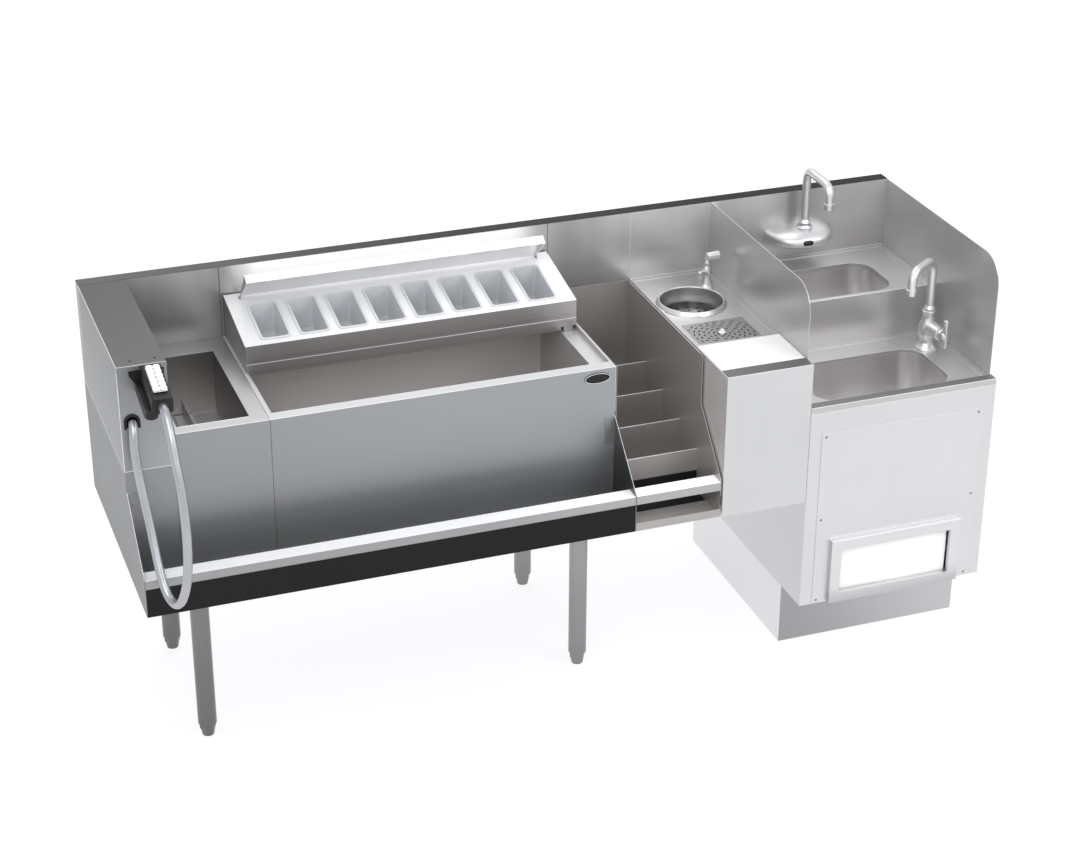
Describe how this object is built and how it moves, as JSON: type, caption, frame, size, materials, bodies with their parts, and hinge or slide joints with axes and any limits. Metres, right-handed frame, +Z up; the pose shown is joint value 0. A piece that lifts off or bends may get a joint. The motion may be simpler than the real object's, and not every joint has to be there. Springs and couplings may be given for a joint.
{
  "type": "underbar cocktail station with soda gun",
  "caption": "Stainless underbar station with a soda gun on a hose, an ice bin under a garnish rack, bottle steps, a glass rinser and a two-level hand sink, joined by one backsplash.",
  "frame": {"origin": "centre of the footprint on the floor, the hose left out", "axes": "+X along the station towards the sink, +Y towards the wall, +Z up"},
  "size_m": [1.9304, 0.7202, 0.9994],
  "materials": {
    "stainless": "brushed, satin",
    "stainless_bright": "brushed, satin",
    "chrome": "polished",
    "black_plastic": "satin",
    "white_plastic": "satin",
    "hose": "braided",
    "pan": "frosted",
    "paper": "matt",
    "aluminium": "cast"
  },
  "bodies": {
    "station": {"splash_panels": "stainless", "side_splashes": "stainless_bright", "gun_housing": "stainless", "hose_grommet": "black_plastic", "gun_hose": "hose", "holster": "black_plastic", "end_panels": "stainless", "front_panels": "stainless", "rail_rim": "stainless_bright", "base_pan": "stainless", "legs": "stainless", "well_liner": "stainless", "bin_liner": "stainless", "cold_plate": "aluminium", "step_display": "stainless", "rinser_cabinet": "stainless_bright", "rinser_deck": "stainless_bright", "dump_bowl": "stainless_bright", "filler_faucet": "chrome", "sink_cabinet": "stainless_bright", "access_panel": "stainless_bright", "towel_box": "stainless_bright", "kick_base": "stainless_bright", "sink_top": "stainless_bright", "upper_bowl": "stainless_bright", "lower_bowl": "stainless_bright", "drains": "chrome", "wall_faucet": "chrome", "lever_faucet": "chrome"},
    "gun": {"gun_body": "black_plastic"},
    "garnish_rack": {"garnish_rack": "stainless_bright"},
    "garnish_lid": {"garnish_lid": "stainless_bright"},
    "well_divider": {"well_divider": "stainless"},
    "dump_strainer": {"dump_strainer": "stainless"},
    "drip_grate": {"drip_grate": "stainless"},
    "rinser_spider": {"rinser_spider": "white_plastic"},
    "cutting_board": {"cutting_board": "white_plastic"},
    "filler_lever": {"filler_lever": "chrome"},
    "towel_roll": {"towel_roll": "paper"},
    "wall_spout": {"wall_spout": "chrome"},
    "lever_spout": {"lever_spout": "chrome"},
    "lever_handle": {"lever_handle": "chrome"},
    "pan_1": {"pan_1": "pan"},
    "pan_2": {"pan_2": "pan"},
    "pan_3": {"pan_3": "pan"},
    "pan_4": {"pan_4": "pan"},
    "pan_5": {"pan_5": "pan"},
    "pan_6": {"pan_6": "pan"},
    "pan_7": {"pan_7": "pan"},
    "pan_8": {"pan_8": "pan"},
    "key_1": {"key_1": "white_plastic"},
    "key_2": {"key_2": "white_plastic"},
    "key_3": {"key_3": "white_plastic"},
    "key_4": {"key_4": "white_plastic"},
    "key_5": {"key_5": "white_plastic"},
    "key_6": {"key_6": "white_plastic"},
    "key_7": {"key_7": "white_plastic"},
    "key_8": {"key_8": "white_plastic"},
    "key_9": {"key_9": "white_plastic"},
    "key_10": {"key_10": "white_plastic"},
    "key_11": {"key_11": "white_plastic"},
    "key_12": {"key_12": "white_plastic"}
  },
  "joints": [
    {"name": "gun_lift", "type": "slide", "parent": "station", "child": "gun", "axis": [0, -0.2164, 0.9763], "range_m": [0, 0.05]},
    {"name": "key_1_press", "type": "slide", "parent": "gun", "child": "key_1", "axis": [0, 0.2164, -0.9763], "range_m": [0, 0.0015], "stiffness_N_per_m": 250, "springref_m": -0.0005},
    {"name": "key_2_press", "type": "slide", "parent": "gun", "child": "key_2", "axis": [0, 0.2164, -0.9763], "range_m": [0, 0.0015], "stiffness_N_per_m": 250, "springref_m": -0.0005},
    {"name": "key_3_press", "type": "slide", "parent": "gun", "child": "key_3", "axis": [0, 0.2164, -0.9763], "range_m": [0, 0.0015], "stiffness_N_per_m": 250, "springref_m": -0.0005},
    {"name": "key_4_press", "type": "slide", "parent": "gun", "child": "key_4", "axis": [0, 0.2164, -0.9763], "range_m": [0, 0.0015], "stiffness_N_per_m": 250, "springref_m": -0.0005},
    {"name": "key_5_press", "type": "slide", "parent": "gun", "child": "key_5", "axis": [0, 0.2164, -0.9763], "range_m": [0, 0.0015], "stiffness_N_per_m": 250, "springref_m": -0.0005},
    {"name": "key_6_press", "type": "slide", "parent": "gun", "child": "key_6", "axis": [0, 0.2164, -0.9763], "range_m": [0, 0.0015], "stiffness_N_per_m": 250, "springref_m": -0.0005},
    {"name": "key_7_press", "type": "slide", "parent": "gun", "child": "key_7", "axis": [0, 0.2164, -0.9763], "range_m": [0, 0.0015], "stiffness_N_per_m": 250, "springref_m": -0.0005},
    {"name": "key_8_press", "type": "slide", "parent": "gun", "child": "key_8", "axis": [0, 0.2164, -0.9763], "range_m": [0, 0.0015], "stiffness_N_per_m": 250, "springref_m": -0.0005},
    {"name": "key_9_press", "type": "slide", "parent": "gun", "child": "key_9", "axis": [0, 0.2164, -0.9763], "range_m": [0, 0.0015], "stiffness_N_per_m": 250, "springref_m": -0.0005},
    {"name": "key_10_press", "type": "slide", "parent": "gun", "child": "key_10", "axis": [0, 0.2164, -0.9763], "range_m": [0, 0.0015], "stiffness_N_per_m": 250, "springref_m": -0.0005},
    {"name": "key_11_press", "type": "slide", "parent": "gun", "child": "key_11", "axis": [0, 0.2164, -0.9763], "range_m": [0, 0.0015], "stiffness_N_per_m": 250, "springref_m": -0.0005},
    {"name": "key_12_press", "type": "slide", "parent": "gun", "child": "key_12", "axis": [0, 0.2164, -0.9763], "range_m": [0, 0.0015], "stiffness_N_per_m": 250, "springref_m": -0.0005},
    {"name": "rack_slide", "type": "slide", "parent": "station", "child": "garnish_rack", "axis": [0, -1, 0], "range_m": [0, 0.19]},
    {"name": "lid_hinge", "type": "hinge", "parent": "garnish_rack", "child": "garnish_lid", "pos_m": [-0.27905, 0.247, 0.86029], "axis": [-1, 0, 0], "range_deg": [-48, 0]},
    {"name": "pan_1_lift", "type": "slide", "parent": "garnish_rack", "child": "pan_1", "axis": [0, -0.1908, 0.9816], "range_m": [0, 0.04]},
    {"name": "pan_2_lift", "type": "slide", "parent": "garnish_rack", "child": "pan_2", "axis": [0, -0.1908, 0.9816], "range_m": [0, 0.04]},
    {"name": "pan_3_lift", "type": "slide", "parent": "garnish_rack", "child": "pan_3", "axis": [0, -0.1908, 0.9816], "range_m": [0, 0.04]},
    {"name": "pan_4_lift", "type": "slide", "parent": "garnish_rack", "child": "pan_4", "axis": [0, -0.1908, 0.9816], "range_m": [0, 0.04]},
    {"name": "pan_5_lift", "type": "slide", "parent": "garnish_rack", "child": "pan_5", "axis": [0, -0.1908, 0.9816], "range_m": [0, 0.04]},
    {"name": "pan_6_lift", "type": "slide", "parent": "garnish_rack", "child": "pan_6", "axis": [0, -0.1908, 0.9816], "range_m": [0, 0.04]},
    {"name": "pan_7_lift", "type": "slide", "parent": "garnish_rack", "child": "pan_7", "axis": [0, -0.1908, 0.9816], "range_m": [0, 0.04]},
    {"name": "pan_8_lift", "type": "slide", "parent": "garnish_rack", "child": "pan_8", "axis": [0, -0.1908, 0.9816], "range_m": [0, 0.04]},
    {"name": "divider_lift", "type": "slide", "parent": "station", "child": "well_divider", "axis": [0, 0, 1], "range_m": [0, 0.15]},
    {"name": "strainer_lift", "type": "slide", "parent": "station", "child": "dump_strainer", "axis": [0, 0, 1], "range_m": [0, 0.08]},
    {"name": "grate_lift", "type": "slide", "parent": "station", "child": "drip_grate", "axis": [0, 0, 1], "range_m": [0, 0.05]},
    {"name": "board_lift", "type": "slide", "parent": "station", "child": "cutting_board", "axis": [0, 0, 1], "range_m": [0, 0.05]},
    {"name": "spider_press", "type": "slide", "parent": "station", "child": "rinser_spider", "axis": [0, 0, -1], "range_m": [0, 0.006], "stiffness_N_per_m": 900, "springref_m": -0.001},
    {"name": "filler_turn", "type": "hinge", "parent": "station", "child": "filler_lever", "pos_m": [0.459, 0.17, 0.82], "axis": [0, 0, 1], "range_deg": [0, 90]},
    {"name": "towel_spin", "type": "hinge", "parent": "station", "child": "towel_roll", "pos_m": [0.7388, -0.24, 0.2305], "axis": [1, 0, 0], "continuous": true},
    {"name": "wall_spout_turn", "type": "hinge", "parent": "station", "child": "wall_spout", "pos_m": [0.7303, 0.231, 0.87], "axis": [0, 0, 1], "range_deg": [-90, 90]},
    {"name": "lever_spout_turn", "type": "hinge", "parent": "station", "child": "lever_spout", "pos_m": [0.9032, -0.08, 0.75], "axis": [0, 0, 1], "range_deg": [-40, 75]},
    {"name": "lever_turn", "type": "hinge", "parent": "station", "child": "lever_handle", "pos_m": [0.91133, -0.13783, 0.6968], "axis": [0.1392, -0.9903, 0], "range_deg": [0, 90]}
  ]
}
